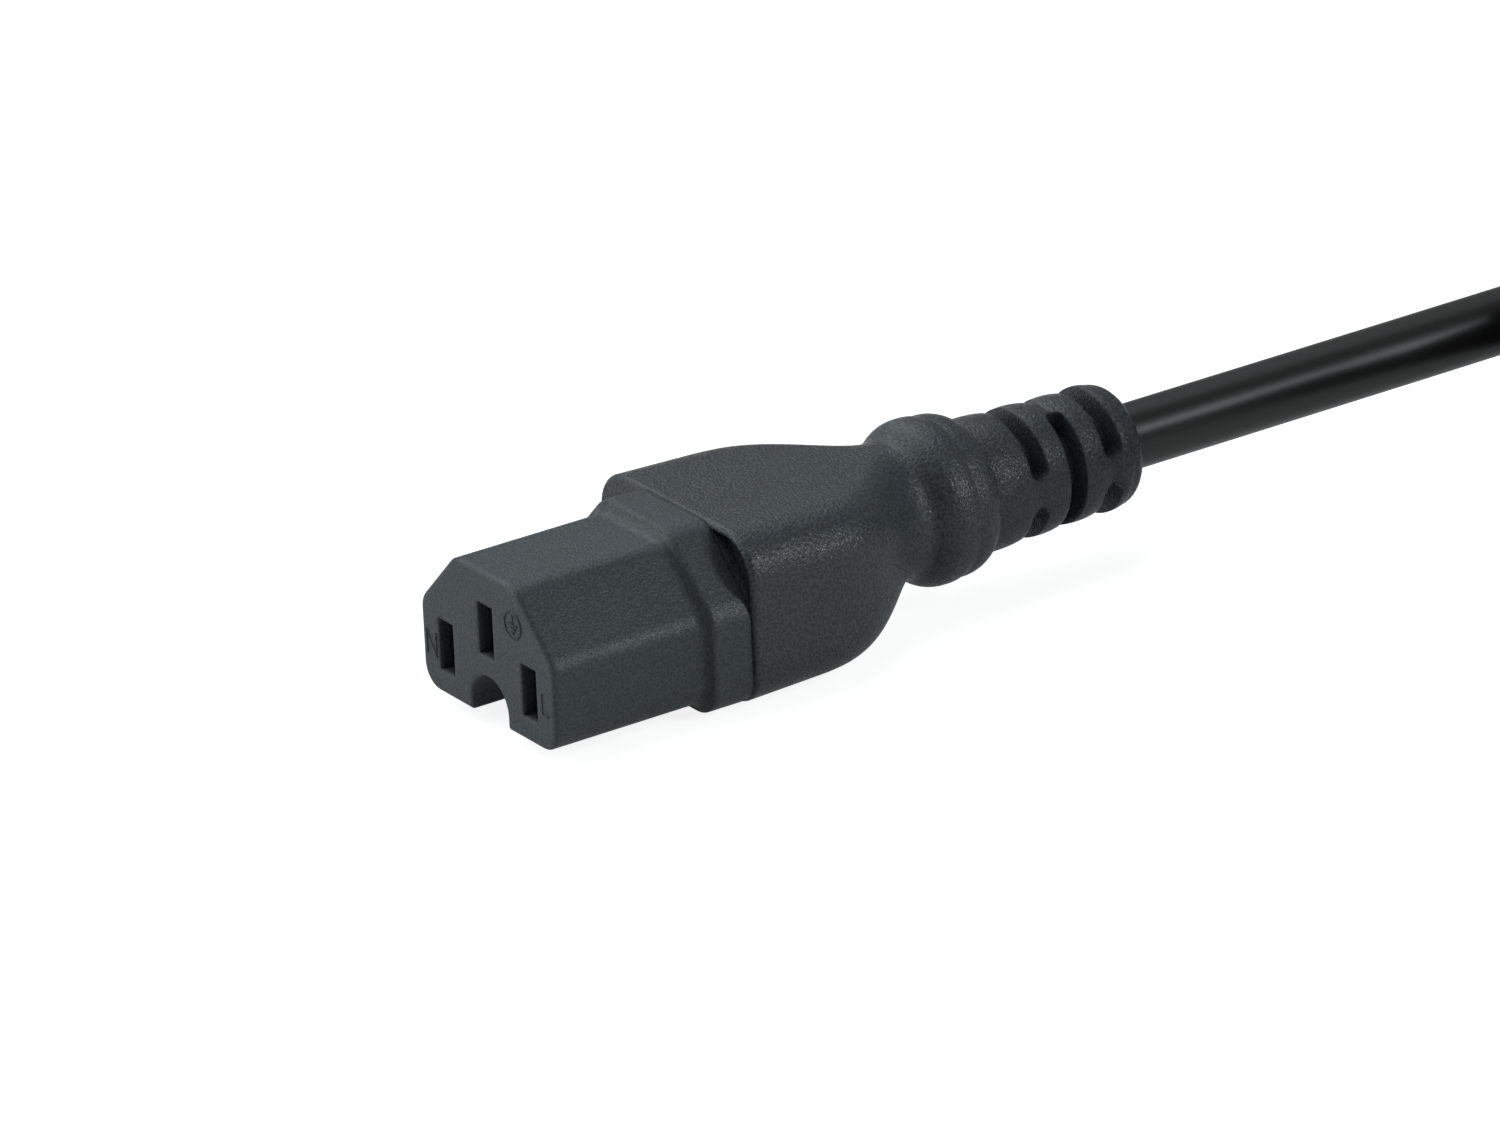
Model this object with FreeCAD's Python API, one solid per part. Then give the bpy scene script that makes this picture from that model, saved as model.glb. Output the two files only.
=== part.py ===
import FreeCAD, Part
import math
import os

from FreeCAD import Vector

# A mains lead: a hot-condition line connector with a notch under its mating
# face, a moulded boot with a grooved strain relief, a round three-core cord
# wound in a tied coil, and a male plug of the same family on its far end.
#
# Millimetres. The connector lies on its flat underside with its mating face
# towards -Y and its cord leaving towards +Y. The pieces are modelled from the
# mating face: y is the distance behind it, z the height above the line that
# joins the line and neutral slots, and x runs to the right of someone who
# looks into the face. to_rest() then moves them to the stored origin, the
# middle of the connector's underside.

# How far a cutter reaches past a face it opens, and how near two places count as one
cut_over = 1.0
same_place = 1e-3

# Slots and pins of the mating pair
pin_pitch = 14.0
earth_rise = 4.0
slot_width = 2.47
slot_height = 5.26
pin_width = 2.0
pin_height = 4.0

# Front block of the connector's insert
block_half_width = 11.2
block_top = 9.9
block_bottom = 5.1
block_chamfer = 6.1
block_corner_round = 2.4
block_length = 17.2
face_edge_round = 0.4
block_root_round = 1.1

# Notch under the block that keys the connector to its hot inlet
notch_width = 6.0
notch_height = 4.25
notch_edge_round = 0.3

# Collar and spigot behind the block
collar_step = 1.1
collar_length = 4.4
collar_edge_round = 0.35
spigot_inset = 1.0
spigot_length = 5.0
spigot_round = 1.0

# Contact chambers in the insert
face_plate = 1.6
chamber_width = 4.2
chamber_height = 6.7

# Stamped contacts
leaf_thickness = 0.4
leaf_height = 4.8
leaf_setback = 0.8
leaf_length = 12.5
leaf_mouth_gap = 2.9
leaf_grip_gap = 1.7
leaf_rear_gap = 3.2
leaf_grip_depth = 3.6
crimp_wall = 0.4
crimp_length = 5.6
crimp_flare = 1.0
crimp_grip = 3.0

# Cord and its three cores
cord_diameter = 6.6
core_diameter = 2.4
core_gap = 0.1
strand_diameter = 1.1
jacket_seat = 19.8
core_lead = 3.0
core_gather = 4.0

# Moulded boot of the connector
boot_half_width = 12.8
boot_top = 11.0
boot_bottom = 6.4
boot_corner_round = 4.3
boot_front_round = 0.5
corner_gap_wall = 0.6
corner_gap_depth = 1.2
boot_draft = 2.0
boot_straight = 8.4
shoulder_length = 15.8
shoulder_width_lag = 1.65
shoulder_height_lag = 1.3
shoulder_sections = 9
section_flat = 0.1

# Neck, bulb and strain relief, turned about the cord's axis
cord_axis_height = 3.45
neck_radius = 6.9
neck_skin = 0.05
neck_run_in = 1.0
neck_land = 0.4
bulb_length = 8.4
bulb_foot = 1.5
bulb_foot_rise = 0.5
bulb_foot_swell = 0.12
bulb_crest = 4.0
bulb_radius = 8.3
bulb_rise_swell = 0.28
bulb_crease = 5.6
bulb_crease_radius = 8.05
bulb_front_swell = 0.1
bulb_end_radius = 7.35
bulb_rear_swell = 0.3
relief_length = 18.6
relief_front_radius = 6.8
relief_rear_radius = 6.15
relief_land_crown = 0.3
relief_end_round = 1.6

# Grooves of the strain relief
groove_rows = 3
groove_first = 5.65
groove_pitch = 4.45
groove_width = 2.05
groove_floor_wall = 0.6
side_bridge_angle = 26.0
flat_bridge_angle = 34.0

# Plug on the far end
mating_gap = 0.4
shroud_wall = 2.0
shroud_depth = 16.5
shroud_base = 4.0
shroud_edge_round = 0.5
pin_length = 14.0
pin_nose = 0.7
pin_tail = 4.0
pin_crimp_depth = 3.0
plug_boot_step = 0.7
plug_straight = 5.0
plug_shoulder_length = 12.0

# Coil, tie and the place of the far end, past the cord's straight stretch
coil_center = Vector(36.3, 152.0, 0.0)
coil_columns = 2
coil_layers = 3
coil_mean_diameter = 66.0
coil_slack = 0.2
tie_width = 5.0
tie_thickness = 1.0
tie_proud = 0.4
tie_angle = 225.0
plug_place_x = 60.0
plug_place_y = 164.0

# Corners of the tail between the coil's top turn and the plug: x, y and the rise above that turn
tail_corners = [
    (0.0, 162.5, 0.0),
    (0.0, 182.0, 1.8),
    (11.5, 197.8, 4.9),
    (30.0, 203.8, 8.2),
    (48.5, 197.8, 11.6),
    (60.0, 182.0, 14.2),
]

# Sizes that follow from the ones above
cord_radius = cord_diameter / 2
core_radius = core_diameter / 2
strand_radius = strand_diameter / 2
collar_front = block_length
boot_front = block_length + collar_length
spigot_end = boot_front + spigot_length
boot_neck = boot_front + boot_straight + shoulder_length
relief_front = boot_neck + bulb_length
connector_length = relief_front + relief_length
jacket_end = connector_length - jacket_seat
leaf_front = face_plate + leaf_setback
leaf_back = leaf_front + leaf_length
crimp_end = leaf_back + crimp_length + crimp_flare + crimp_grip
groove_floor_radius = cord_radius + groove_floor_wall
rest_depth = boot_bottom
coil_bottom = tie_proud - rest_depth
coil_height = coil_layers * cord_diameter + coil_slack
coil_half_bundle = coil_columns * cord_radius + coil_slack
coil_mean_radius = coil_mean_diameter / 2
slots = {
    "neutral": (-pin_pitch / 2, 0.0),
    "line": (pin_pitch / 2, 0.0),
    "earth": (0.0, earth_rise),
}


def prism(points, start, length):
    """A flat outline in x and z, drawn out along y."""
    corners = [Vector(x, start, z) for x, z in points]
    face = Part.Face(Part.makePolygon(corners + corners[:1]))
    return face.extrude(Vector(0, length, 0))


def edges_along(shape, direction):
    """The straight edges of a shape that run along one direction."""
    found = []
    for edge in shape.Edges:
        if not isinstance(edge.Curve, Part.Line):
            continue
        if edge.tangentAt(edge.FirstParameter).cross(direction).Length < same_place:
            found.append(edge)
    return found


def edges_in_plane(shape, y):
    """The edges of a shape that lie in the plane across the axis at y."""
    flat = [e for e in shape.Edges if e.BoundBox.YLength < same_place]
    return [e for e in flat if abs(e.BoundBox.YMin - y) < same_place]


def family_outline(offset):
    """The connector family's six-cornered outline, moved outwards by offset."""
    half = block_half_width + offset
    top = block_top + offset
    bottom = block_bottom + offset
    leg = block_chamfer + (2 - math.sqrt(2)) * offset
    return [
        (-half, -bottom),
        (half, -bottom),
        (half, top - leg),
        (half - leg, top),
        (-half + leg, top),
        (-half, top - leg),
    ]


def family_block(offset, start, length, corner_round):
    """A block of the family outline with its long corners rounded."""
    block = prism(family_outline(offset), start, length)
    return block.makeFillet(corner_round, edges_along(block, Vector(0, 1, 0)))


def box_at(center_x, center_z, width, height, start, length):
    """A box centred on a slot, running back along y."""
    corner = Vector(center_x - width / 2, start, center_z - height / 2)
    return Part.makeBox(width, length, height, corner)


def turned(profile):
    """A closed profile of distance along y and radius, turned about the y axis."""
    points = [Vector(r, y, 0) for y, r in profile]
    face = Part.Face(Part.makePolygon(points + points[:1]))
    return face.revolve(Vector(0, 0, 0), Vector(0, 1, 0), 360)


def notch_cutter():
    """The round-topped notch under the front block."""
    radius = notch_width / 2
    middle = -block_bottom + notch_height - radius
    below = -block_bottom - collar_step
    arch = Part.makeCylinder(radius, block_length, Vector(0, 0, middle), Vector(0, 1, 0))
    slot = Part.makeBox(notch_width, block_length, middle - below, Vector(-radius, 0, below))
    return arch.fuse(slot).removeSplitter()


def connector_spigot():
    """The insert's tongue that the boot is moulded round."""
    return family_block(-spigot_inset, boot_front, spigot_length, spigot_round)


def connector_insert():
    """Front block, collar and spigot in one moulding, with slots, chambers and the notch."""
    block = family_block(0, 0, block_length, block_corner_round)
    block = block.makeFillet(face_edge_round, edges_in_plane(block, 0))
    collar = family_block(collar_step, collar_front, collar_length, block_corner_round + collar_step)
    collar = collar.makeFillet(collar_edge_round, edges_in_plane(collar, collar_front))
    body = block.fuse(collar).removeSplitter()
    root = [e for e in edges_in_plane(body, collar_front) if inside_collar_edge(e)]
    body = body.makeFillet(block_root_round, root)
    body = body.fuse(connector_spigot())
    body = body.cut(notch_cutter())
    rim = [e for e in edges_in_plane(body, 0) if e.BoundBox.ZMax < -block_bottom + notch_height + same_place]
    rim = [e for e in rim if abs(e.CenterOfMass.x) < notch_width / 2 + same_place]
    body = body.makeFillet(notch_edge_round, rim)
    for x, z in slots.values():
        body = body.cut(box_at(x, z, slot_width, slot_height, -cut_over, face_plate + 2 * cut_over))
        body = body.cut(box_at(x, z, chamber_width, chamber_height, face_plate, spigot_end - face_plate))
    return body


def inside_collar_edge(edge):
    """Whether an edge of the collar's front plane is the foot of the front block."""
    box = edge.BoundBox
    across = max(-box.XMin, box.XMax) < block_half_width + same_place
    upright = box.ZMin > -block_bottom - same_place and box.ZMax < block_top + same_place
    return across and upright


def leaf_profile(side):
    """One spring leaf of a contact, seen from above: mouth, grip and rear, with its thickness."""
    grip_y = leaf_front + leaf_grip_depth
    inner = [
        (leaf_mouth_gap / 2, leaf_front),
        (leaf_grip_gap / 2, grip_y),
        (leaf_rear_gap / 2, leaf_back - leaf_thickness),
    ]
    outer = [(x + leaf_thickness, y) for x, y in reversed(inner)]
    return [Vector(side * x, y, 0) for x, y in inner + outer]


def contact(x, z):
    """A stamped socket contact: two spring leaves, their bridge and the crimped sleeve."""
    parts = []
    for side in (-1, 1):
        points = leaf_profile(side)
        face = Part.Face(Part.makePolygon(points + points[:1]))
        parts.append(face.extrude(Vector(0, 0, leaf_height)))
    bridge_width = leaf_rear_gap + 2 * leaf_thickness
    corner = Vector(-bridge_width / 2, leaf_back - leaf_thickness, 0)
    parts.append(Part.makeBox(bridge_width, leaf_thickness, leaf_height, corner))
    body = parts[0].multiFuse(parts[1:])
    body.translate(Vector(0, 0, -leaf_height / 2))
    flare_start = leaf_back + crimp_length
    flare_end = flare_start + crimp_flare
    sleeve = turned(
        [
            (leaf_back, strand_radius),
            (flare_start, strand_radius),
            (flare_end, core_radius),
            (crimp_end, core_radius),
            (crimp_end, core_radius + crimp_wall),
            (flare_end, core_radius + crimp_wall),
            (flare_start, strand_radius + crimp_wall),
            (leaf_back, strand_radius + crimp_wall),
        ]
    )
    body = body.fuse(sleeve).removeSplitter()
    body.translate(Vector(x, 0, z))
    return body


def strands(x, z, start, end):
    """The bare copper end of a core, packed in its crimp."""
    return Part.makeCylinder(strand_radius, end - start, Vector(x, start, z), Vector(0, 1, 0))


def rounded_route(points):
    """Straight runs joined by tangent arcs, each as large as its two runs allow, and the arcs' radii."""
    edges = []
    radii = []
    last = points[0]
    for before, corner, after in zip(points, points[1:], points[2:]):
        into = (corner - before).normalize()
        away = (after - corner).normalize()
        turn = into.getAngle(away)
        reach = 0.45 * min((corner - before).Length, (after - corner).Length)
        radius = reach / math.tan(turn / 2)
        radii.append(radius)
        first = corner - into * reach
        second = corner + away * reach
        bisector = (away - into).normalize()
        middle = corner + bisector * (radius / math.cos(turn / 2) - radius)
        edges.append(Part.LineSegment(last, first).toShape())
        edges.append(Part.Arc(first, middle, second).toShape())
        last = second
    edges.append(Part.LineSegment(last, points[-1]).toShape())
    return Part.Wire(edges), radii


def tube(points, radius):
    """A round tube along a rounded route, and the radii of its arcs."""
    path, radii = rounded_route(points)
    ring = Part.Wire(Part.makeCircle(radius, points[0], points[1] - points[0]))
    return path.makePipeShell([ring], True, False), radii


def core_seat(name):
    """Where a core lies in the cord's bundle of three, from the cord's axis."""
    angle = {"earth": 90, "line": -30, "neutral": 210}[name]
    distance = (core_diameter + core_gap) / math.sqrt(3)
    return distance * math.cos(math.radians(angle)), distance * math.sin(math.radians(angle))


def core(name, start, lead, jacket):
    """An insulated core from its crimp to the end of the cord's jacket, in a gentle double bend."""
    x, z = slots[name]
    seat_x, seat_z = core_seat(name)
    seat_z += cord_axis_height
    points = [
        Vector(x, start, z),
        Vector(x, start + lead, z),
        Vector(seat_x, jacket - core_gather, seat_z),
        Vector(seat_x, jacket, seat_z),
    ]
    return tube(points, core_radius)[0]


def rounded_section(half_width, half_height, corner, center_z, y):
    """A closed wire of four lines and four corner arcs across the boot at y."""
    edges = []
    flat = [
        Vector(half_width - corner, y, center_z - half_height),
        Vector(half_width, y, center_z - half_height + corner),
        Vector(half_width, y, center_z + half_height - corner),
        Vector(half_width - corner, y, center_z + half_height),
        Vector(-half_width + corner, y, center_z + half_height),
        Vector(-half_width, y, center_z + half_height - corner),
        Vector(-half_width, y, center_z - half_height + corner),
        Vector(-half_width + corner, y, center_z - half_height),
    ]
    for index, angle in zip(range(0, 8, 2), (-45, 45, 135, 225)):
        sign_x = 1 if index in (0, 2) else -1
        sign_z = -1 if index in (0, 6) else 1
        pivot = Vector(sign_x * (half_width - corner), y, center_z + sign_z * (half_height - corner))
        out = Vector(math.cos(math.radians(angle)), 0, math.sin(math.radians(angle)))
        edges.append(Part.Arc(flat[index], pivot + out * corner, flat[index + 1]).toShape())
        edges.append(Part.LineSegment(flat[index + 1], flat[(index + 2) % 8]).toShape())
    return Part.Wire(edges)


def eased(share):
    """A share from 0 to 1 with a slow start and a slow end."""
    return share * share * (3 - 2 * share)


def boot_body(half_width, top, bottom, front, straight, shoulder):
    """The boot's drafted body and its shoulders, lofted from a rounded rectangle to the round neck."""
    neck = front + straight + shoulder
    inner_neck = neck_radius - neck_skin
    full_height = (top + bottom) / 2
    middle = (top - bottom) / 2
    slope = math.tan(math.radians(boot_draft))
    sections = []
    for step in range(shoulder_sections + 1):
        share = step / shoulder_sections
        y = front + straight + share * shoulder
        if step == 0:
            sections.append(rounded_section(half_width, full_height, boot_corner_round, middle, front))
            share = 0
        narrowing = eased(share**shoulder_width_lag)
        lowering = eased(share**shoulder_height_lag)
        height = full_height - slope * (y - front)
        sections.append(
            rounded_section(
                half_width + (inner_neck - half_width) * narrowing,
                height + (inner_neck - height) * lowering,
                boot_corner_round + (inner_neck - section_flat - boot_corner_round) * narrowing,
                middle + (cord_axis_height - middle) * lowering,
                y,
            )
        )
    straight_part = Part.makeLoft(sections[:2], True, True)
    shoulders = Part.makeLoft(sections[1:], True, False)
    straight_part = straight_part.makeFillet(boot_front_round, edges_in_plane(straight_part, front))
    return straight_part.fuse(shoulders), neck


def bowed(first, last, swell):
    """An arc between two points of a turned profile, swollen outwards at its middle."""
    return Part.Arc(first, (first + last) / 2 + Vector(swell, 0, 0), last).toShape()


def relief_lands(step, rim):
    """The crowned outlines of the relief's lands, from groove to groove, up to its rounded end."""
    slope = (relief_rear_radius - relief_front_radius) / (rim.y - step)
    centers = [step + groove_first + row * groove_pitch for row in range(groove_rows)]
    feet = []
    for y in [step] + centers:
        feet.append(Vector(relief_front_radius + slope * (y - step) - relief_land_crown, y, 0))
    feet.append(rim)
    return feet[0], [bowed(a, b, relief_land_crown) for a, b in zip(feet, feet[1:])]


def bulb_and_relief(neck):
    """Neck, two-part bulb and tapered strain relief, turned about the cord's axis."""
    step = neck + bulb_length
    end = step + relief_length
    inside = neck - neck_run_in
    neck_start = Vector(neck_radius, inside, 0)
    neck_end = Vector(neck_radius, neck + neck_land, 0)
    foot = Vector(neck_radius + bulb_foot_rise, neck + bulb_foot, 0)
    crest = Vector(bulb_radius, neck + bulb_crest, 0)
    crease = Vector(bulb_crease_radius, neck + bulb_crease, 0)
    bulb_end = Vector(bulb_end_radius, step, 0)
    rim = Vector(relief_rear_radius, end - relief_end_round, 0)
    cap = Vector(relief_rear_radius - relief_end_round, end, 0)
    shrink = relief_end_round * (1 - math.sqrt(0.5))
    rim_middle = Vector(relief_rear_radius - shrink, end - shrink, 0)
    relief_start, lands = relief_lands(step, rim)
    edges = [
        Part.LineSegment(Vector(0, inside, 0), neck_start).toShape(),
        Part.LineSegment(neck_start, neck_end).toShape(),
        bowed(neck_end, foot, -bulb_foot_swell),
        bowed(foot, crest, bulb_rise_swell),
        bowed(crest, crease, bulb_front_swell),
        bowed(crease, bulb_end, bulb_rear_swell),
        Part.LineSegment(bulb_end, relief_start).toShape(),
        *lands,
        Part.Arc(rim, rim_middle, cap).toShape(),
        Part.LineSegment(cap, Vector(0, end, 0)).toShape(),
        Part.LineSegment(Vector(0, end, 0), Vector(0, inside, 0)).toShape(),
    ]
    solid = Part.Face(Part.Wire(edges)).revolve(Vector(0, 0, 0), Vector(0, 1, 0), 360)
    solid.translate(Vector(0, 0, cord_axis_height))
    return solid


def groove(start, middle_angle, half_angle):
    """One strain-relief groove: part of a ring with round ends, its middle at an angle from the top."""
    outer = bulb_radius
    profile = [
        Vector(0, start, groove_floor_radius),
        Vector(0, start + groove_width, groove_floor_radius),
        Vector(0, start + groove_width, outer),
        Vector(0, start, outer),
    ]
    face = Part.Face(Part.makePolygon(profile + profile[:1]))
    end_angle = half_angle - math.degrees(groove_width / 2 / relief_rear_radius)
    face.rotate(Vector(0, 0, 0), Vector(0, 1, 0), middle_angle - end_angle)
    ring = face.revolve(Vector(0, 0, 0), Vector(0, 1, 0), 2 * end_angle)
    ends = []
    for angle in (middle_angle - end_angle, middle_angle + end_angle):
        out = Vector(math.sin(math.radians(angle)), 0, math.cos(math.radians(angle)))
        foot = out * groove_floor_radius + Vector(0, start + groove_width / 2, 0)
        ends.append(Part.makeCylinder(groove_width / 2, outer - groove_floor_radius, foot, out))
    cutter = ring.multiFuse(ends)
    cutter.translate(Vector(0, 0, cord_axis_height))
    return cutter


def relief_grooves(step):
    """All grooves: two arcs a row, over and under, or left and right in every second row."""
    cutters = []
    for row in range(groove_rows):
        start = step + groove_first + row * groove_pitch - groove_width / 2
        if row % 2 == 0:
            middles = (0, 180)
            half_angle = 90 - side_bridge_angle / 2
        else:
            middles = (90, 270)
            half_angle = 90 - flat_bridge_angle / 2
        for middle in middles:
            cutters.append(groove(start, middle, half_angle))
    return cutters


def boot(half_width, top, bottom, front, straight, shoulder, inner_pieces):
    """A whole boot, moulded round the pieces inside it."""
    body, neck = boot_body(half_width, top, bottom, front, straight, shoulder)
    body = body.fuse(bulb_and_relief(neck)).removeSplitter()
    for cutter in relief_grooves(neck + bulb_length):
        body = body.cut(cutter)
    for piece in inner_pieces:
        body = body.cut(piece)
    return body


def corner_gap():
    """The gap between the collar's right chamfer and the boot's round upper corner."""
    middle = (boot_top - boot_bottom) / 2
    half_height = (boot_top + boot_bottom) / 2 - corner_gap_wall
    half_width = boot_half_width - corner_gap_wall
    corner_round = boot_corner_round - corner_gap_wall
    outline = rounded_section(half_width, half_height, corner_round, middle, boot_front)
    hollow = Part.Face(outline).extrude(Vector(0, corner_gap_depth, 0))
    collar_round = block_corner_round + collar_step
    filled = family_block(collar_step, boot_front - cut_over, corner_gap_depth + 2 * cut_over, collar_round)
    return max(hollow.cut(filled).Solids, key=lambda gap: gap.CenterOfMass.x)


def shroud():
    """The plug's rigid shroud and base with the three pin seats."""
    outer = family_block(mating_gap + shroud_wall, 0, shroud_depth + shroud_base, block_corner_round)
    outer = outer.makeFillet(shroud_edge_round, edges_in_plane(outer, 0))
    hollow = family_block(mating_gap, -cut_over, shroud_depth + cut_over, block_corner_round)
    body = outer.cut(hollow)
    for x, z in slots.values():
        seat = box_at(x, z, pin_width, pin_height, shroud_depth - cut_over, shroud_base + 2 * cut_over)
        body = body.cut(seat)
    return body


def plug_pin(x, z):
    """A flat solid pin with a bevelled nose, and the crimp behind the shroud's base."""
    front = shroud_depth - pin_length
    back = shroud_depth + shroud_base + pin_tail
    pin = box_at(x, z, pin_width, pin_height, front, back - front)
    upright = [e for e in edges_in_plane(pin, front) if e.BoundBox.ZLength > e.BoundBox.XLength]
    pin = pin.makeChamfer(pin_nose, upright)
    bore = strands(x, z, back - pin_crimp_depth, back)
    return pin.cut(bore)


def coil_ring():
    """The outer shape of the wound turns: a ring of a rounded bundle section."""
    outer = Part.makeCylinder(coil_mean_radius + coil_half_bundle, coil_height, Vector(0, 0, coil_bottom))
    hole = Part.makeCylinder(coil_mean_radius - coil_half_bundle, coil_height, Vector(0, 0, coil_bottom))
    ring = outer.cut(hole)
    ring = ring.makeFillet(cord_radius, rims(ring))
    ring.translate(coil_center)
    return ring


def rims(ring):
    """The four round rims of a ring of square section."""
    return [e for e in ring.Edges if isinstance(e.Curve, Part.Circle) and e.BoundBox.ZLength < same_place]


def coil_tie():
    """A flat band around the bundle at one place, pulled a little into the turns."""
    sink = tie_thickness - tie_proud
    outer_half = coil_half_bundle + tie_proud
    inner_half = coil_half_bundle - sink
    outer_height = coil_height + 2 * tie_proud
    inner_height = coil_height - 2 * sink
    outer = band_block(outer_half, coil_bottom - tie_proud, outer_height, cord_radius + tie_proud)
    inner = band_block(inner_half, coil_bottom + sink, inner_height, cord_radius - sink)
    band = outer.cut(inner)
    band.rotate(Vector(0, 0, 0), Vector(0, 0, 1), tie_angle)
    band.translate(coil_center)
    return band


def band_block(half_bundle, bottom, height, corner_round):
    """A block of the bundle's section, as thick along the turns as the tie is wide."""
    corner = Vector(coil_mean_radius - half_bundle, -tie_width / 2, bottom)
    block = Part.makeBox(2 * half_bundle, tie_width, height, corner)
    return block.makeFillet(corner_round, edges_along(block, Vector(0, 1, 0)))


def to_rest(shape):
    """Moves a piece from the mating face's frame to the stored origin."""
    moved = shape.copy()
    moved.translate(Vector(0, -connector_length / 2, rest_depth))
    return moved


def to_plug(shape, plug_length, plug_rest):
    """Moves a piece of the plug to its place on the coil."""
    moved = shape.copy()
    moved.translate(Vector(plug_place_x, plug_place_y - plug_length, plug_rest))
    return moved


def build():
    """Every node of the lead, in the mating face's frame."""
    nodes = {}

    # Connector: insert, contacts, cores and the boot around them
    nodes["connector_insert"] = connector_insert()
    cores = []
    core_start = leaf_back + crimp_length + crimp_flare
    for name, (x, z) in slots.items():
        nodes[name + "_contact"] = contact(x, z)
        nodes[name + "_strands"] = strands(x, z, leaf_back, core_start)
        nodes[name + "_core"] = core(name, core_start, core_lead + crimp_grip, jacket_end)
        cores.append(nodes[name + "_core"])

    # Cord: one straight stretch to the coil, then the coil and the tail to the plug
    ring = coil_ring()
    axis = Vector(0, 0, cord_axis_height)
    stretch = coil_center.y - jacket_end
    jacket_start = axis + Vector(0, jacket_end, 0)
    jacket = Part.makeCylinder(cord_radius, stretch, jacket_start, Vector(0, 1, 0))
    print("straight stretch", round(stretch, 2), "of", round(stretch / cord_diameter, 1), "diameters")
    tie = coil_tie()
    nodes["cord_jacket"] = jacket.cut(ring)
    whole_boot = boot(
        boot_half_width,
        boot_top,
        boot_bottom,
        boot_front,
        boot_straight,
        shoulder_length,
        [connector_spigot()] + cores + [jacket],
    )
    nodes["connector_boot"] = whole_boot.cut(corner_gap())

    # Plug: shroud, pins, cores and the boot around them
    plug_front = shroud_depth + shroud_base
    plug_width = block_half_width + mating_gap + shroud_wall + plug_boot_step
    plug_top = block_top + mating_gap + shroud_wall + plug_boot_step
    plug_bottom = block_bottom + mating_gap + shroud_wall + plug_boot_step
    plug_length = plug_front + plug_straight + plug_shoulder_length + bulb_length + relief_length
    plug_jacket_end = plug_length - jacket_seat
    plug_rest = coil_bottom + coil_height + plug_bottom
    plug_pieces = {"plug_shroud": shroud()}
    plug_inner = []
    for name, (x, z) in slots.items():
        pin_end = plug_front + pin_tail
        plug_pieces["plug_" + name + "_pin"] = plug_pin(x, z)
        plug_pieces["plug_" + name + "_strands"] = strands(x, z, pin_end - pin_crimp_depth, pin_end)
        plug_pieces["plug_" + name + "_core"] = core(name, pin_end, core_lead, plug_jacket_end)
        plug_inner += [plug_pieces["plug_" + name + part] for part in ("_pin", "_strands", "_core")]
    seat = Part.makeCylinder(cord_radius, jacket_seat, axis + Vector(0, plug_jacket_end, 0), Vector(0, 1, 0))
    plug_pieces["plug_boot"] = boot(
        plug_width,
        plug_top,
        plug_bottom,
        plug_front,
        plug_straight,
        plug_shoulder_length,
        plug_inner + [seat],
    )
    for name, piece in plug_pieces.items():
        nodes[name] = to_plug(piece, plug_length, plug_rest)

    # Tail: from the coil's top turn, round and up to the plug that lies on the coil
    plug_end = Vector(plug_place_x, plug_place_y, cord_axis_height + plug_rest)
    top_turn = coil_bottom + coil_height - coil_slack / 2 - cord_radius
    tail_points = [Vector(x, y, top_turn + rise) for x, y, rise in tail_corners] + [plug_end]
    tail, radii = tube(tail_points, cord_radius)
    path = rounded_route(tail_points)[0]
    print("tail radii", [round(r, 1) for r in radii])
    expected = path.Length * math.pi * cord_radius**2
    print("tail volume", round(tail.Volume, 1), "section times length", round(expected, 1))
    seat = to_plug(seat, plug_length, plug_rest)
    nodes["cord_tail"] = tail.fuse(seat).removeSplitter().cut(ring)
    nodes["cord_coil"] = ring.cut(tie)
    nodes["cord_tie"] = tie
    return nodes


os.makedirs("parts", exist_ok=True)
for node_name, node_shape in build().items():
    resting = to_rest(node_shape)
    if len(resting.Solids) == 1:
        resting = resting.Solids[0]
    resting.exportStep("parts/" + node_name + ".step")
    print(node_name, len(node_shape.Solids), round(resting.Volume, 1), resting.isValid())
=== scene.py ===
# %% [markdown]
# # A mains lead with a grained, moulded connector
# The lead is a slate-grey line connector with three slots, a black round cord, and a plug
# of the same family on the far end. The solids come from the construction model, which is
# loaded first and never moved. Everything after that gives it a cord that really bends, the
# finish of moulded PVC, light and a camera. All places are in metres in the model's frame.

# %% Load the construction model
import math

import bpy
from mathutils import Matrix, Vector


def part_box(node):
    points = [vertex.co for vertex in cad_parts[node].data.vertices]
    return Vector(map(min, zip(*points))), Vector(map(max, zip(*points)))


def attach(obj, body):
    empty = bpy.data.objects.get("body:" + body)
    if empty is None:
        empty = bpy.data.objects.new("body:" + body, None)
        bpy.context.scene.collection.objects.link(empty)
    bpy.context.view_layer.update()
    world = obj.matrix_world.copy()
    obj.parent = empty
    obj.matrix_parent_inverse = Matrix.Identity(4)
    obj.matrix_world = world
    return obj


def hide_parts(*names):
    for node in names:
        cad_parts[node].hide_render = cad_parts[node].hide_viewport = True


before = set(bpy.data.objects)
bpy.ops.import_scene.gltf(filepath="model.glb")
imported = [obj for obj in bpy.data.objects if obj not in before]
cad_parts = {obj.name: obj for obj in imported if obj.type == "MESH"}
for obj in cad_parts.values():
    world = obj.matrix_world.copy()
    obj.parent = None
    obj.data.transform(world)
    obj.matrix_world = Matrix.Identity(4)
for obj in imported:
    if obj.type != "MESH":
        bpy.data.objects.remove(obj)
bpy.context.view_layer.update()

# %% [markdown]
# ## Millimetres
# A connector is measured in millimetres and Blender counts in metres. One function turns a
# point in millimetres into a Blender vector, with its Y counted from the mating face as on
# a maker's drawing, so the numbers below stay readable.

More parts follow.
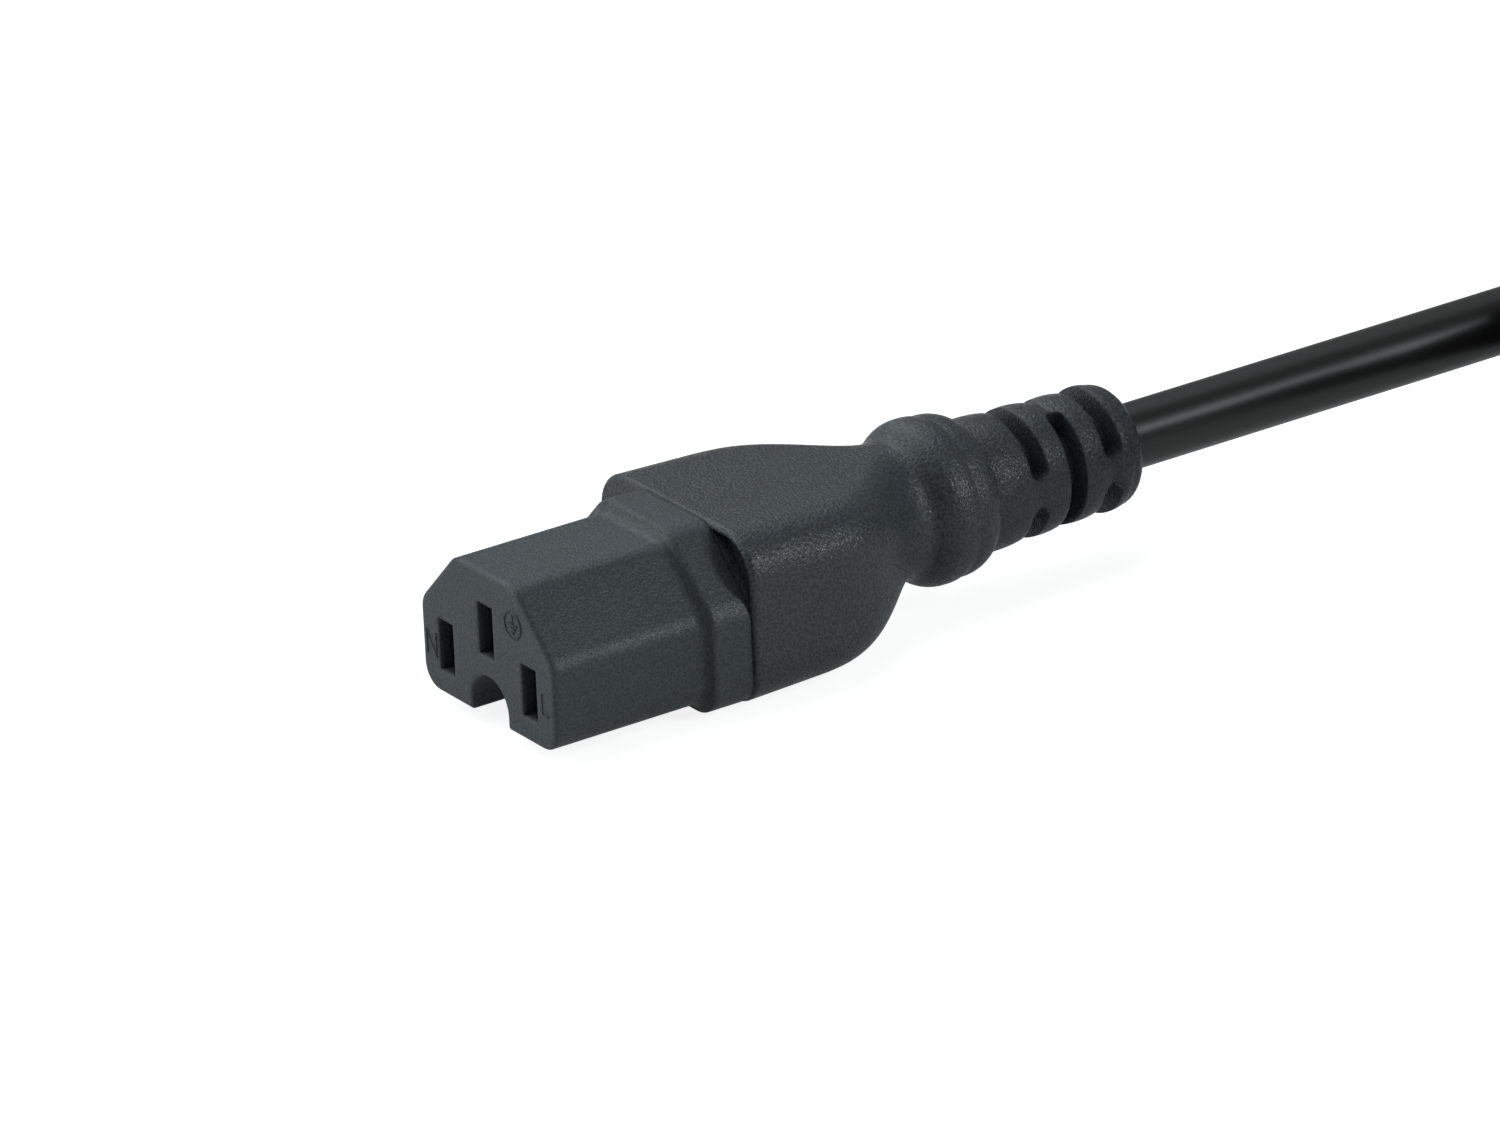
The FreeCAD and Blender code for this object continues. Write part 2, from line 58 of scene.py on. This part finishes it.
# %% Millimetres
MM = 0.001
face_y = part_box("connector_insert")[0].y / MM
boot_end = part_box("connector_boot")[1].y / MM - face_y
slot_row_z = 6.4


def at(x, y, z):
    """A point in millimetres: Y from the mating face, X and Z in the model's frame."""
    return Vector((x, face_y + y, z)) * MM


print("mating face at y", round(face_y, 2), "mm, the boot ends", round(boot_end, 2), "mm behind it")

# %% [markdown]
# ## The camera
# The photograph was taken from the right and a little above, with a long lens. The camera
# is placed by a direction, a distance and a roll. It looks along its own axis with no
# shift, so the object sits left of the middle as it does in the photograph.

# %% Camera
turn, rise, roll = math.radians(56.084), math.radians(23.0566), math.radians(-2.508)
distance_mm = 900.0
pixels_per_mm = 10.7115
aim_pixel_x, aim_pixel_y = 487.983, 670.022
picture_width, picture_height = 1500, 1125

back = Vector((math.sin(turn) * math.cos(rise), -math.cos(turn) * math.cos(rise), math.sin(rise)))
level = Vector((math.cos(turn), math.sin(turn), 0))
upright = back.cross(level)
right = level * math.cos(roll) + upright * math.sin(roll)
up = upright * math.cos(roll) - level * math.sin(roll)
aside = (aim_pixel_x - picture_width / 2) / pixels_per_mm
above = (picture_height / 2 - aim_pixel_y) / pixels_per_mm
eye = back * distance_mm - right * aside - up * above + Vector((0, face_y, slot_row_z))

camera_data = bpy.data.cameras.new("photo_camera")
camera_data.sensor_fit = "HORIZONTAL"
camera_data.sensor_width = 36.0
camera_data.lens = pixels_per_mm * distance_mm * camera_data.sensor_width / picture_width
camera_data.clip_start = 0.05
camera = bpy.data.objects.new("photo_camera", camera_data)
bpy.context.collection.objects.link(camera)
axes = Matrix((right, up, back)).transposed().to_4x4()
camera.matrix_world = Matrix.Translation(eye * MM) @ axes
bpy.context.scene.camera = camera
print("lens", round(camera_data.lens, 1), "mm, eye", [round(v) for v in eye], "mm")

# %% [markdown]
# ## The cord
# A three-core mains cord is stiff and springs into even curves. It leaves the strain relief
# straight, runs out of the picture, and the rest is wound for storage in a flat round coil.
# One smooth spline is the whole cord. Its control points are few and given one by one, apart
# from the turns of the coil, which a loop lays in five turns, two wide and three high.

# %% The coil's places
cord_diameter = 6.6
cord_height = 9.85
coil_x, coil_y = 36.3, 152.0
outer_turn, inner_turn = 36.3, 29.7
low_turn, middle_turn, high_turn = 3.75, 10.4, 17.05
turn_places = [
    (outer_turn, middle_turn),
    (outer_turn, low_turn),
    (inner_turn, low_turn),
    (inner_turn, middle_turn),
    (inner_turn, high_turn),
    (outer_turn, high_turn),
]
turns = 5
points_a_turn = 14
change_length = 0.32
change_starts = [0.54, 1.42, 2.30, 3.18, 4.06]


def turn_place(turn_count):
    """Radius and height of the cord after so many turns; it steps aside once in each turn."""
    radius, height = turn_places[0]
    for before, after, start in zip(turn_places, turn_places[1:], change_starts):
        share = min(max((turn_count - start) / change_length, 0), 1)
        share = share * share * (3 - 2 * share)
        radius += (after[0] - before[0]) * share
        height += (after[1] - before[1]) * share
    return radius, height


# %% The cord's control points
cord_points = [at(0, boot_end - 6, cord_height), at(0, 133, 9.9)]
outside_the_curve = 1 / math.cos(math.pi / points_a_turn)
for step in range(turns * points_a_turn):
    turn_count = (step + 0.5) / points_a_turn
    radius, height = turn_place(turn_count)
    angle = math.pi - 2 * math.pi * turn_count
    reach = radius * outside_the_curve
    cord_points.append(at(coil_x + reach * math.cos(angle), coil_y + reach * math.sin(angle), height))
cord_points += [
    at(0, 162.5, 17.0),
    at(0, 182, 18.8),
    at(11.5, 197.8, 21.9),
    at(30, 203.8, 25.2),
    at(48.5, 197.8, 28.6),
    at(60, 182, 31.2),
    at(60, 164, 32.05),
    at(60, 158, 32.05),
]
print("cord control points:", len(cord_points))

# %% The cord itself
cord_curve = bpy.data.curves.new("cord", "CURVE")
cord_curve.dimensions = "3D"
cord_line = cord_curve.splines.new("NURBS")
cord_line.points.add(len(cord_points) - 1)
for spot, place in zip(cord_line.points, cord_points):
    spot.co = (*place, 1)
    spot.radius = cord_diameter / 2 * MM
cord_line.order_u = 3
cord_line.use_endpoint_u = True
cord_line.resolution_u = 8
cord_curve.bevel_depth = 1.0
cord_curve.bevel_resolution = 10
cord_curve.use_fill_caps = True
cord = bpy.data.objects.new("cord", cord_curve)
bpy.context.collection.objects.link(cord)
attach(cord, "root")
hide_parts("cord_jacket", "cord_coil", "cord_tail")
print("cord length, m:", round(cord_line.calc_length(), 3))

# %% [markdown]
# ## The tie
# The coil is held by a woven hook-and-loop strap. It goes once round the bundle, pulled
# flat against it, and its end lies over its start. A strip is swept round a rounded
# outline of the bundle, because a strap is a strip.

# %% Strap
strap_angle = math.radians(225)
strap_width = 5.0
strap_thickness = 0.9
bundle_middle = (outer_turn + inner_turn) / 2
bundle_half = (outer_turn - inner_turn + cord_diameter) / 2
bundle_low = low_turn - cord_diameter / 2
bundle_high = high_turn + cord_diameter / 2
round_off = cord_diameter / 2


def bundle_outline(away, steps=7):
    """The rounded outline of the bundle, moved outwards, as distance from the coil's middle and height."""
    spots = []
    corners = [
        (bundle_half - round_off, bundle_high - round_off, 0),
        (round_off - bundle_half, bundle_high - round_off, 90),
        (round_off - bundle_half, bundle_low + round_off, 180),
        (bundle_half - round_off, bundle_low + round_off, 270),
    ]
    for across, height, first in corners:
        for step in range(steps + 1):
            angle = math.radians(first + 90 * step / steps)
            reach = round_off + away
            spots.append((bundle_middle + across + reach * math.cos(angle), height + reach * math.sin(angle)))
    return spots


def strip(outline, thickness, width):
    """Vertices and faces of a strip of that thickness and width that follows an outline."""
    aside = Vector((-math.sin(strap_angle), math.cos(strap_angle), 0))
    outward = Vector((math.cos(strap_angle), math.sin(strap_angle), 0))
    verts = []
    for index, (far, height) in enumerate(outline):
        before = outline[max(index - 1, 0)]
        after = outline[min(index + 1, len(outline) - 1)]
        along = Vector((after[0] - before[0], after[1] - before[1])).normalized()
        normal = (along.y, -along.x)
        for out, across in ((0, -0.5), (0.75, -0.5), (1, -0.42), (1, 0.42), (0.75, 0.5), (0, 0.5)):
            r = far + normal[0] * out * thickness
            z = height + normal[1] * out * thickness
            place = outward * r + aside * across * width
            verts.append(at(coil_x + place.x, coil_y + place.y, z))
    ring = 6
    faces = []
    for index in range(len(outline) - 1):
        for corner in range(ring):
            a, b = index * ring + corner, index * ring + (corner + 1) % ring
            faces.append((a, b, b + ring, a + ring))
    faces.append(tuple(range(ring)))
    faces.append(tuple(reversed(range((len(outline) - 1) * ring, len(outline) * ring))))
    return verts, faces


around = bundle_outline(0.02)
around = around + around[:1]
over = bundle_outline(0.02 + strap_thickness)[2:14]
strap_verts, strap_faces = strip(around, strap_thickness * 0.45, strap_width)
over_verts, over_faces = strip(over, strap_thickness * 0.5, strap_width)
over_faces = [tuple(corner + len(strap_verts) for corner in face) for face in over_faces]
strap_mesh = bpy.data.meshes.new("strap")
strap_mesh.from_pydata(strap_verts + over_verts, [], strap_faces + over_faces)
strap_mesh.update()
strap = bpy.data.objects.new("strap", strap_mesh)
bpy.context.collection.objects.link(strap)
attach(strap, "root")
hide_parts("cord_tie")
print("strap faces:", len(strap_mesh.polygons))

# %% [markdown]

# %% [markdown]
# ## Marks on the mating face
# Every connector of this kind shows which slot is which: a letter beside each live slot and
# the earth sign beside the third. They stand up from the face by a tenth of a millimetre,
# as shallow engraving in the tool leaves them. A round bar whose axis lies just under the
# face shows only its upper half, which is how such a mark looks.

# %% Marks
mark_stroke = 0.3
mark_sink = 0.05


def mark(name, strokes, middle_x, middle_z):
    """Raised strokes on the mating face; each stroke is a list of points from the mark's middle."""
    lines = bpy.data.curves.new(name, "CURVE")
    lines.dimensions = "3D"
    for stroke in strokes:
        line = lines.splines.new("POLY")
        line.points.add(len(stroke) - 1)
        for spot, (x, z) in zip(line.points, stroke):
            spot.co = (*at(middle_x + x, mark_sink, slot_row_z + middle_z + z), 1)
            spot.radius = mark_stroke / 2 * MM
    lines.bevel_depth = 1.0
    lines.bevel_resolution = 3
    lines.use_fill_caps = True
    made = bpy.data.objects.new(name, lines)
    bpy.context.collection.objects.link(made)
    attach(made, "root")
    return made


def ring_points(radius, count=32):
    """A closed circle as a stroke."""
    turns_round = [2 * math.pi * step / count for step in range(count + 1)]
    return [(radius * math.cos(a), radius * math.sin(a)) for a in turns_round]


letter_n = [[(-0.8, -1.2), (-0.8, 1.2), (0.8, -1.2), (0.8, 1.2)]]
letter_l = [[(-0.5, 1.0), (-0.5, -1.0), (0.5, -1.0)]]
earth_sign = [
    ring_points(1.35),
    [(0, 0.95), (0, 0.05)],
    [(-0.75, 0.05), (0.75, 0.05)],
    [(-0.48, -0.35), (0.48, -0.35)],
    [(-0.2, -0.75), (0.2, -0.75)],
]
marks = [
    mark("mark_neutral", letter_n, -9.6, -0.4),
    mark("mark_line", letter_l, 9.6, -0.4),
    mark("mark_earth", earth_sign, 4.7, 6.1),
]
print("marks:", len(marks))

# %% [markdown]
# ## Colours and nodes
# Colours are written as they look on a screen, in hex. Blender works with linear light, so
# one function turns them. Another adds a node, sets it and links it. With these two a
# material is a short list of what the real surface shows.

# %% Colours and nodes
def linear(screen_hex):
    """A colour as seen on a screen, in hex, as Blender's linear light."""
    parts = [int(screen_hex[i : i + 2], 16) / 255 for i in (1, 3, 5)]
    bent = [p / 12.92 if p <= 0.04045 else ((p + 0.055) / 1.055) ** 2.4 for p in parts]
    return (*bent, 1.0)


def add(tree, kind, settings=None, inputs=None):
    """Adds a node with its settings, and its inputs as numbers or as links from other nodes."""
    made = tree.nodes.new(kind)
    for name, value in (settings or {}).items():
        setattr(made, name, value)
    for name, value in (inputs or {}).items():
        if isinstance(value, bpy.types.NodeSocket):
            tree.links.new(value, made.inputs[name])
        else:
            made.inputs[name].default_value = value
    return made


def per_mm(size):
    """The texture scale that gives features of that size in millimetres."""
    return 1 / (size * MM)


def new_material(name):
    """An empty node material, with the place on the object as its pattern's coordinates."""
    material = bpy.data.materials.new(name)
    material.use_nodes = True
    tree = material.node_tree
    tree.nodes.clear()
    place = add(tree, "ShaderNodeTexCoord").outputs["Object"]
    return material, tree, place


def finish_with(tree, shader):
    """Sends a shader to the material's output."""
    add(tree, "ShaderNodeOutputMaterial", inputs={"Surface": shader.outputs[0]})


# %% [markdown]
# ## Moulded PVC
# The connector is PVC, moulded in a steel tool. Sparks eroded the tool's walls, which
# leaves a fine grain on the plastic: shallow pits with bright rims. The front block came
# from a finer tool than the boot, so it looks smoother. Each finish has the grain as bump, a
# slower cloudiness in the colour from the pigment, and small glossy spots that sparkle in a
# highlight. Slots, grooves and inner corners look darker than plain light makes them, so
# painted shade deepens the colour where the surface closes in on itself. The tool's edges
# are slightly round, which the shading shows without a change of shape.

# %% Moulded PVC
def moulded_pvc(name, dark, light, grain_mm, grain_depth_mm, dull, glossy, edge_round_mm):
    """PVC from a spark-eroded tool: size and depth of its grain, and how rough its spots are."""
    material, tree, place = new_material(name)
    clouds = add(tree, "ShaderNodeTexNoise", inputs={"Vector": place, "Scale": per_mm(7), "Detail": 3})
    grain = add(tree, "ShaderNodeTexNoise", inputs={"Vector": place, "Scale": per_mm(grain_mm), "Detail": 2})
    pits = add(
        tree,
        "ShaderNodeTexVoronoi",
        {"feature": "SMOOTH_F1"},
        {"Vector": place, "Scale": per_mm(grain_mm * 1.4), "Smoothness": 0.4},
    )
    height = add(
        tree, "ShaderNodeMath", {"operation": "ADD"}, {0: grain.outputs["Fac"], 1: pits.outputs["Distance"]}
    )
    speckle = add(
        tree,
        "ShaderNodeMapRange",
        inputs={
            "Value": height.outputs[0],
            "From Min": 0.75,
            "From Max": 1.15,
            "To Min": 0.0,
            "To Max": 0.75,
        },
    )
    tint = add(
        tree,
        "ShaderNodeMath",
        {"operation": "MULTIPLY_ADD", "use_clamp": True},
        {0: clouds.outputs["Fac"], 1: 0.35, 2: speckle.outputs[0]},
    )
    colour = add(
        tree, "ShaderNodeMix", {"data_type": "RGBA"}, {0: tint.outputs[0], 6: linear(dark), 7: linear(light)}
    )
    # Painted shade: the occlusion value darkens the colour by up to a quarter in slots, grooves and inner
    # corners.
    openness = add(tree, "ShaderNodeAmbientOcclusion", {"samples": 4}, {"Distance": 1.8 * MM})
    painted_shade = add(
        tree,
        "ShaderNodeMapRange",
        inputs={
            "Value": openness.outputs["AO"],
            "From Min": 0.2,
            "From Max": 0.85,
            "To Min": 0.75,
            "To Max": 1.0,
        },
    )
    colour_with_painted_shade = add(
        tree,
        "ShaderNodeMix",
        {"data_type": "RGBA", "blend_type": "MULTIPLY"},
        {0: 1.0, 6: colour.outputs[2], 7: painted_shade.outputs[0]},
    )
    rough = add(
        tree,
        "ShaderNodeMapRange",
        inputs={
            "Value": grain.outputs["Fac"],
            "From Min": 0.45,
            "From Max": 0.6,
            "To Min": dull,
            "To Max": glossy,
        },
    )
    edges = add(tree, "ShaderNodeBevel", {"samples": 4}, {"Radius": edge_round_mm * MM})
    bump = add(
        tree,
        "ShaderNodeBump",
        inputs={"Height": height.outputs[0], "Distance": grain_depth_mm * MM, "Normal": edges.outputs[0]},
    )
    shader = add(
        tree,
        "ShaderNodeBsdfPrincipled",
        inputs={
            "Base Color": colour_with_painted_shade.outputs[2],
            "Roughness": rough.outputs[0],
            "IOR": 1.53,
            "Specular IOR Level": 0.33,
            "Normal": bump.outputs[0],
        },
    )
    finish_with(tree, shader)
    return material


insert_pvc = moulded_pvc("finely_eroded_pvc", "#2f3538", "#495053", 0.18, 0.028, 0.48, 0.3, 0.7)
boot_pvc = moulded_pvc("coarsely_eroded_pvc", "#292d31", "#474d51", 0.22, 0.056, 0.46, 0.18, 0.4)
print("moulded finishes:", insert_pvc.name, boot_pvc.name)

# %% [markdown]
# ## The cord's jacket
# The jacket is black PVC, pressed hot through a round die. The die leaves it smooth, with a
# satin gloss and a faint waviness, so a long soft highlight runs along the cord. Fine
# specks come from the filler in the plastic.

# %% Extruded PVC
def extruded_pvc():
    """Black PVC from an extrusion die."""
    material, tree, place = new_material("extruded_black_pvc")
    waves = add(tree, "ShaderNodeTexNoise", inputs={"Vector": place, "Scale": per_mm(9), "Detail": 1})
    specks = add(tree, "ShaderNodeTexNoise", inputs={"Vector": place, "Scale": per_mm(0.35), "Detail": 2})
    colour = add(
        tree,
        "ShaderNodeMix",
        {"data_type": "RGBA"},
        {0: specks.outputs["Fac"], 6: linear("#141413"), 7: linear("#1b1b19")},
    )
    rough = add(
        tree,
        "ShaderNodeMapRange",
        inputs={"Value": specks.outputs["Fac"], "To Min": 0.32, "To Max": 0.4},
    )
    fine = add(tree, "ShaderNodeBump", inputs={"Height": specks.outputs["Fac"], "Distance": 0.006 * MM})
    wavy = add(
        tree,
        "ShaderNodeBump",
        inputs={"Height": waves.outputs["Fac"], "Distance": 0.03 * MM, "Normal": fine.outputs[0]},
    )
    shader = add(
        tree,
        "ShaderNodeBsdfPrincipled",
        inputs={
            "Base Color": colour.outputs[2],
            "Roughness": rough.outputs[0],
            "IOR": 1.53,
            "Specular IOR Level": 0.55,
            "Normal": wavy.outputs[0],
        },
    )
    finish_with(tree, shader)
    return material


jacket_pvc = extruded_pvc()

# %% [markdown]
# ## Core insulation
# Under the jacket lie three insulated cores, brown, blue and green with yellow. Nothing of
# them shows, but the solids are there, and a cut-away view should look right. The earth
# core's two colours come from broad bands along its length.

# %% Core insulation
def core_insulation(name, colour, second):
    """Smooth insulation in one colour or two, in bands along the cord."""
    material, tree, place = new_material(name)
    bands = add(
        tree,
        "ShaderNodeTexWave",
        {"bands_direction": "X"},
        {"Vector": place, "Scale": per_mm(8), "Distortion": 0.6},
    )
    sharp = add(
        tree, "ShaderNodeMapRange", inputs={"Value": bands.outputs["Fac"], "From Min": 0.45, "From Max": 0.55}
    )
    mixed = add(
        tree,
        "ShaderNodeMix",
        {"data_type": "RGBA"},
        {0: sharp.outputs[0], 6: linear(colour), 7: linear(second)},
    )
    shader = add(
        tree,
        "ShaderNodeBsdfPrincipled",
        inputs={"Base Color": mixed.outputs[2], "Roughness": 0.4, "IOR": 1.53},
    )
    finish_with(tree, shader)
    return material


core_finishes = {
    "line": core_insulation("brown_core_pvc", "#5a3420", "#64402a"),
    "neutral": core_insulation("blue_core_pvc", "#2458a8", "#2c62b4"),
    "earth": core_insulation("green_yellow_core_pvc", "#2f8a3a", "#e3c72c"),
}

# %% [markdown]
# ## Metal
# Contacts are bare brass and the pins are plated with nickel. Contacts are blanked from
# strip, which leaves fine rolling lines, and the crimped core ends are bright copper
# strands. Metals keep the shader's own refraction, full metallic, and a roughness that the
# lines modulate.

# %% Metal
def rolled_metal(name, dark, light, line_mm, roughness):
    """Metal strip with fine lines along the connector's length."""
    material, tree, place = new_material(name)
    stretched = add(
        tree, "ShaderNodeMapping", inputs={"Vector": place, "Scale": (1.0, 0.06, 1.0)}
    )
    lines = add(
        tree,
        "ShaderNodeTexNoise",
        inputs={"Vector": stretched.outputs[0], "Scale": per_mm(line_mm), "Detail": 3},
    )
    colour = add(
        tree,
        "ShaderNodeMix",
        {"data_type": "RGBA"},
        {0: lines.outputs["Fac"], 6: linear(dark), 7: linear(light)},
    )
    rough = add(
        tree,
        "ShaderNodeMapRange",
        inputs={"Value": lines.outputs["Fac"], "To Min": roughness - 0.1, "To Max": roughness + 0.1},
    )
    bump = add(tree, "ShaderNodeBump", inputs={"Height": lines.outputs["Fac"], "Distance": 0.01 * MM})
    shader = add(
        tree,
        "ShaderNodeBsdfPrincipled",
        inputs={
            "Base Color": colour.outputs[2],
            "Metallic": 1.0,
            "Roughness": rough.outputs[0],
            "Normal": bump.outputs[0],
        },
    )
    finish_with(tree, shader)
    return material


contact_brass = rolled_metal("rolled_contact_brass", "#a98a4c", "#c8a866", 0.25, 0.32)
pin_nickel = rolled_metal("nickel_plated_pins", "#b3b1ab", "#d0cec8", 0.3, 0.28)
strand_copper = rolled_metal("stranded_copper", "#b0683c", "#d08a58", 0.2, 0.35)

# %% [markdown]
# ## The strap's weave
# The strap is woven nylon with soft loops on its outside. A weave is two sets of threads
# that cross, so two wave patterns at right angles make its bump, and a soft sheen stands
# for the loops.

# %% Woven strap
def woven_nylon():
    """Black nylon strap with threads 0.35 mm apart."""
    material, tree, place = new_material("woven_black_nylon")
    turned = add(
        tree, "ShaderNodeMapping", inputs={"Vector": place, "Rotation": (0, 0, -strap_angle)}
    )
    warp = add(
        tree,
        "ShaderNodeTexWave",
        {"bands_direction": "Y"},
        {"Vector": turned.outputs[0], "Scale": per_mm(0.35 * 2 * math.pi), "Distortion": 0.4},
    )
    weft = add(
        tree,
        "ShaderNodeTexWave",
        {"bands_direction": "Z"},
        {"Vector": turned.outputs[0], "Scale": per_mm(0.35 * 2 * math.pi), "Distortion": 0.4},
    )
    weave = add(
        tree, "ShaderNodeMath", {"operation": "MULTIPLY"}, {0: warp.outputs["Fac"], 1: weft.outputs["Fac"]}
    )
    colour = add(
        tree,
        "ShaderNodeMix",
        {"data_type": "RGBA"},
        {0: weave.outputs[0], 6: linear("#121213"), 7: linear("#2c2c2e")},
    )
    bump = add(tree, "ShaderNodeBump", inputs={"Height": weave.outputs[0], "Distance": 0.08 * MM})
    shader = add(
        tree,
        "ShaderNodeBsdfPrincipled",
        inputs={
            "Base Color": colour.outputs[2],
            "Roughness": 0.8,
            "Sheen Weight": 0.3,
            "Normal": bump.outputs[0],
        },
    )
    finish_with(tree, shader)
    return material


strap_nylon = woven_nylon()

# %% Give every piece its finish
def dress(piece, material):
    """Puts a finish on a piece."""
    if not piece.material_slots:
        piece.data.materials.append(material)
    piece.material_slots[0].material = material


dress(cord, jacket_pvc)
dress(strap, strap_nylon)
for piece in marks:
    dress(piece, insert_pvc)
for name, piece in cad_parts.items():
    core = [finish for wire, finish in core_finishes.items() if wire in name]
    if name.endswith("_boot"):
        dress(piece, boot_pvc)
    elif name in ("connector_insert", "plug_shroud"):
        dress(piece, insert_pvc)
    elif name.endswith("_contact"):
        dress(piece, contact_brass)
    elif name.endswith("_pin"):
        dress(piece, pin_nickel)
    elif name.endswith("_strands"):
        dress(piece, strand_copper)
    elif name.endswith("_core"):
        dress(piece, core[0])
print("dressed nodes:", len(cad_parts))

# %% [markdown]
# ## The floor and the white background
# The lead lies on a white sheet. The floor is a pale diffuse surface that takes the soft
# shadow. To the camera and in reflections it also glows a little, so that it reads as
# white without more light on the object.

# %% Floor
floor_mesh = bpy.data.meshes.new("floor")
reach = 6.0
floor_corners = [(-reach, -reach, 0), (reach, -reach, 0), (reach, reach, 0), (-reach, reach, 0)]
floor_mesh.from_pydata(floor_corners, [], [(0, 1, 2, 3)])
floor = bpy.data.objects.new("floor", floor_mesh)
floor.location.z = -0.0001
bpy.context.collection.objects.link(floor)


def by_ray(tree, for_camera, for_mirrors, for_the_rest=0.0):
    """A strength that differs between the camera, reflections or glass, and all other light."""
    rays = add(tree, "ShaderNodeLightPath")
    mirrors = add(
        tree,
        "ShaderNodeMath",
        {"operation": "MAXIMUM"},
        {0: rays.outputs["Is Glossy Ray"], 1: rays.outputs["Is Transmission Ray"]},
    )
    rest = add(
        tree,
        "ShaderNodeMath",
        {"operation": "MULTIPLY_ADD"},
        {0: mirrors.outputs[0], 1: for_mirrors - for_the_rest, 2: for_the_rest},
    )
    return add(
        tree,
        "ShaderNodeMath",
        {"operation": "MULTIPLY_ADD"},
        {0: rays.outputs["Is Camera Ray"], 1: for_camera - for_the_rest, 2: rest.outputs[0]},
    ).outputs[0]


sheet, tree, place = new_material("white_paper_sheet")
paper = add(tree, "ShaderNodeBsdfDiffuse", inputs={"Color": linear("#c6c6c6")})
glow_strength = by_ray(tree, 0.85, 0.2)
glow = add(tree, "ShaderNodeEmission", inputs={"Color": linear("#ffffff"), "Strength": glow_strength})
finish_with(tree, add(tree, "ShaderNodeAddShader", inputs={0: paper.outputs[0], 1: glow.outputs[0]}))
dress(floor, sheet)

# %% World
world = bpy.data.worlds.new("studio")
bpy.context.scene.world = world
world.use_nodes = True
sky = world.node_tree
sky.nodes.clear()
wall_strength = by_ray(sky, 1.0, 0.15, 0.1)
wall = add(sky, "ShaderNodeBackground", inputs={"Color": linear("#ffffff"), "Strength": wall_strength})
add(sky, "ShaderNodeOutputWorld", inputs={"Surface": wall.outputs[0]})

# %% [markdown]
# ## Light
# The photograph has soft lights: a wide one above and to the left, which makes the upper
# faces the lightest, one from the front left that opens the mating face, a narrow one
# behind on the right, whose reflection is the long highlight on the cord and the sparkle
# on the boot's shoulder, and a dim one low on the right that keeps the cord's side grey.

# %% Lights
def softbox(name, toward, away_m, width_m, height_m, watts):
    """A rectangular lamp in a direction from the connector, facing it, a little cool."""
    lamp = bpy.data.lights.new(name, "AREA")
    lamp.shape = "RECTANGLE"
    lamp.color = linear("#f1f8fc")[:3]
    lamp.size, lamp.size_y = width_m, height_m
    lamp.energy = watts
    direction = Vector(toward).normalized()
    piece = bpy.data.objects.new(name, lamp)
    piece.matrix_world = (
        Matrix.Translation(direction * away_m) @ direction.to_track_quat("Z", "Y").to_matrix().to_4x4()
    )
    bpy.context.collection.objects.link(piece)
    return piece


softbox("overhead_box", (-0.55, -0.1, 0.83), 1.5, 2.1, 2.1, 22)
softbox("front_left_box", (-0.55, -0.8, 0.25), 1.3, 0.6, 0.6, 5.2)
softbox("back_right_box", (0.73, 0.51, 0.45), 1.2, 0.12, 0.7, 4.7)
softbox("low_right_box", (0.85, 0.5, 0.14), 1.4, 0.4, 0.25, 0.3)

# %% [markdown]
# ## Colour management
# The standard view shows colours as they are written.

# %% View
bpy.context.scene.view_settings.view_transform = "Standard"
